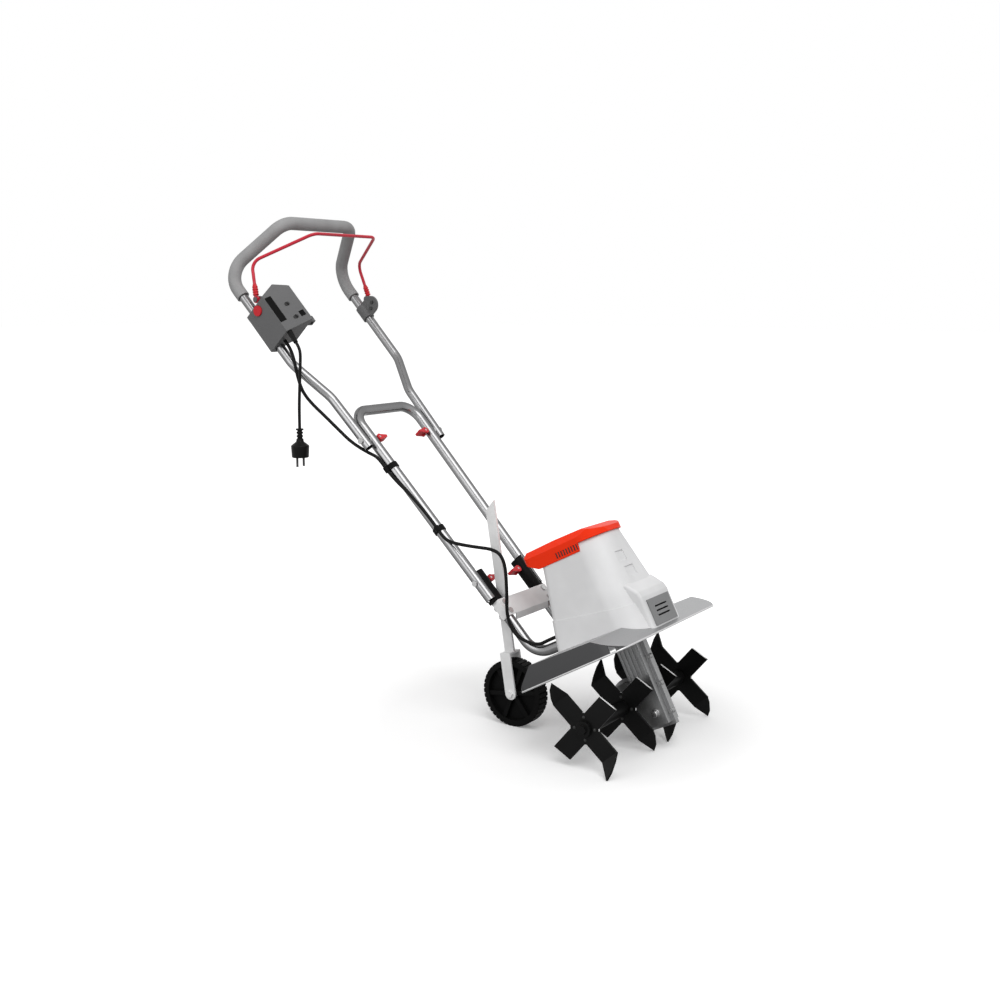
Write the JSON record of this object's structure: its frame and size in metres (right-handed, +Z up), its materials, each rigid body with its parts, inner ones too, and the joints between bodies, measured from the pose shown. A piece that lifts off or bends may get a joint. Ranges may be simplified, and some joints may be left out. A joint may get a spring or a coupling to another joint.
{
  "type": "electric tiller",
  "caption": "Electric garden tiller with a worm-geared motor tower over bent tines, a sheet guard, a folding tube handle with a bail switch lever and a depth wheel on a sliding bar.",
  "frame": {"origin": "middle of the footprint on the ground", "axes": "+Z up, -Y forward over the tines, +X to the machine's left"},
  "size_m": [0.4272, 0.9941, 1.0271],
  "materials": {
    "zinc_tube": "bright galvanised",
    "bracket_grey": "satin",
    "guard_grey": "satin",
    "tine_black": "satin black",
    "housing_grey": "fine grain",
    "cover_red": "satin",
    "grille_grey": "fine grain",
    "gear_alloy": "cast",
    "steel": "plain",
    "copper": "enamelled",
    "bronze": "plain",
    "black_plastic": "fine grain",
    "black_rubber": "satin",
    "foam_grey": "soft foam",
    "bail_red": "powder coat"
  },
  "bodies": {
    "chassis": {"guard_plate": "guard_grey", "motor_housing": "housing_grey", "top_cover": "cover_red", "front_grille": "grille_grey", "motor_base": "gear_alloy", "stator": "steel", "field_coils": "copper", "motor_bell": "gear_alloy", "brush_holders": "black_plastic", "rotor_bearings": "steel", "gearbox_right": "gear_alloy", "gearbox_left": "gear_alloy", "gearbox_screws": "steel", "tine_bushes": "bronze", "plate_bolts": "steel", "frame_tubes": "zinc_tube", "tube_sleeves": "black_plastic", "cross_bracket": "bracket_grey", "bracket_bolts": "steel", "lower_clamp_bolts": "steel", "motor_lead_lower": "black_rubber"},
    "rotor": {"rotor_shaft": "steel", "armature": "steel", "cooling_fan": "gear_alloy"},
    "tine_axle": {"tine_shaft": "steel", "worm_wheel": "bronze", "tine_hubs": "tine_black", "outer_tines": "tine_black", "inner_tines": "tine_black", "hub_fasteners": "steel"},
    "depth_slide": {"depth_bar": "bracket_grey", "wheel_fork": "bracket_grey", "wheel_axle": "steel"},
    "depth_wheel": {"wheel": "black_plastic"},
    "handle_lower": {"lower_handle": "zinc_tube", "upper_clamp_bolts": "steel", "spacer_washers": "steel", "cable_clips": "black_plastic", "motor_lead_middle": "black_rubber"},
    "handle_upper": {"upper_handle": "zinc_tube", "grip_foam": "foam_grey", "switch_box": "grille_grey", "box_lid": "grille_grey", "box_clamp": "grille_grey", "box_screws": "steel", "label_plate": "black_plastic", "switch_unit": "black_plastic", "pivot_bracket": "grille_grey", "mains_relief": "black_rubber", "motor_lead_upper": "black_rubber", "mains_lead": "black_rubber", "plug_body": "black_rubber", "plug_pins": "bronze"},
    "bail": {"bail_lever": "bail_red", "bail_boots": "cover_red"},
    "button": {"safety_button": "cover_red"},
    "lever_lower_right": {"lower_lever_right": "cover_red"},
    "lever_lower_left": {"lower_lever_left": "cover_red"},
    "lever_upper_right": {"upper_lever_right": "cover_red"},
    "lever_upper_left": {"upper_lever_left": "cover_red"}
  },
  "joints": [
    {"name": "tine_spin", "type": "hinge", "parent": "chassis", "child": "tine_axle", "pos_m": [0, -0.4025, 0.08084], "axis": [1, 0, 0], "continuous": true},
    {"name": "rotor_spin", "type": "hinge", "parent": "chassis", "child": "rotor", "pos_m": [0, -0.43992, 0.0999], "axis": [0, 0.454, 0.891], "continuous": true},
    {"name": "depth_adjust", "type": "slide", "parent": "chassis", "child": "depth_slide", "axis": [0, 0.1616, 0.9869], "range_m": [-0.12, 0.015]},
    {"name": "wheel_spin", "type": "hinge", "parent": "depth_slide", "child": "depth_wheel", "pos_m": [-0.0545, -0.1595, 0.0685], "axis": [1, 0, 0], "continuous": true},
    {"name": "handle_tilt", "type": "hinge", "parent": "chassis", "child": "handle_lower", "pos_m": [0, -0.09138, 0.29241], "axis": [1, 0, 0], "range_deg": [-20, 10], "deforming": ["motor_lead_lower"]},
    {"name": "handle_fold", "type": "hinge", "parent": "handle_lower", "child": "handle_upper", "pos_m": [0, 0.1719, 0.56503], "axis": [1, 0, 0], "range_deg": [0, 110], "deforming": ["motor_lead_upper"]},
    {"name": "bail_pull", "type": "hinge", "parent": "handle_upper", "child": "bail", "pos_m": [0, 0.41086, 0.8528], "axis": [1, 0, 0], "range_deg": [-20, 0], "stiffness_Nm_per_rad": 1.2, "springref_deg": 11.46},
    {"name": "button_press", "type": "slide", "parent": "handle_upper", "child": "button", "axis": [1, 0, 0], "range_m": [0, 0.0035], "stiffness_N_per_m": 800, "springref_m": -0.001},
    {"name": "lower_lever_right_turn", "type": "hinge", "parent": "chassis", "child": "lever_lower_right", "pos_m": [-0.05, -0.09138, 0.29241], "axis": [0, -0.7193, 0.6947], "range_deg": [0, 80]},
    {"name": "lower_lever_left_turn", "type": "hinge", "parent": "chassis", "child": "lever_lower_left", "pos_m": [0.05, -0.09138, 0.29241], "axis": [0, 0.7193, -0.6947], "range_deg": [0, 80]},
    {"name": "upper_lever_right_turn", "type": "hinge", "parent": "handle_lower", "child": "lever_upper_right", "pos_m": [-0.07777, 0.1719, 0.56503], "axis": [0, -0.7193, 0.6947], "range_deg": [0, 80]},
    {"name": "upper_lever_left_turn", "type": "hinge", "parent": "handle_lower", "child": "lever_upper_left", "pos_m": [0.07777, 0.1719, 0.56503], "axis": [0, 0.7193, -0.6947], "range_deg": [0, 80]}
  ],
  "couplings": [
    {"joint": "rotor_spin", "follows": "tine_spin", "ratio": 30}
  ]
}
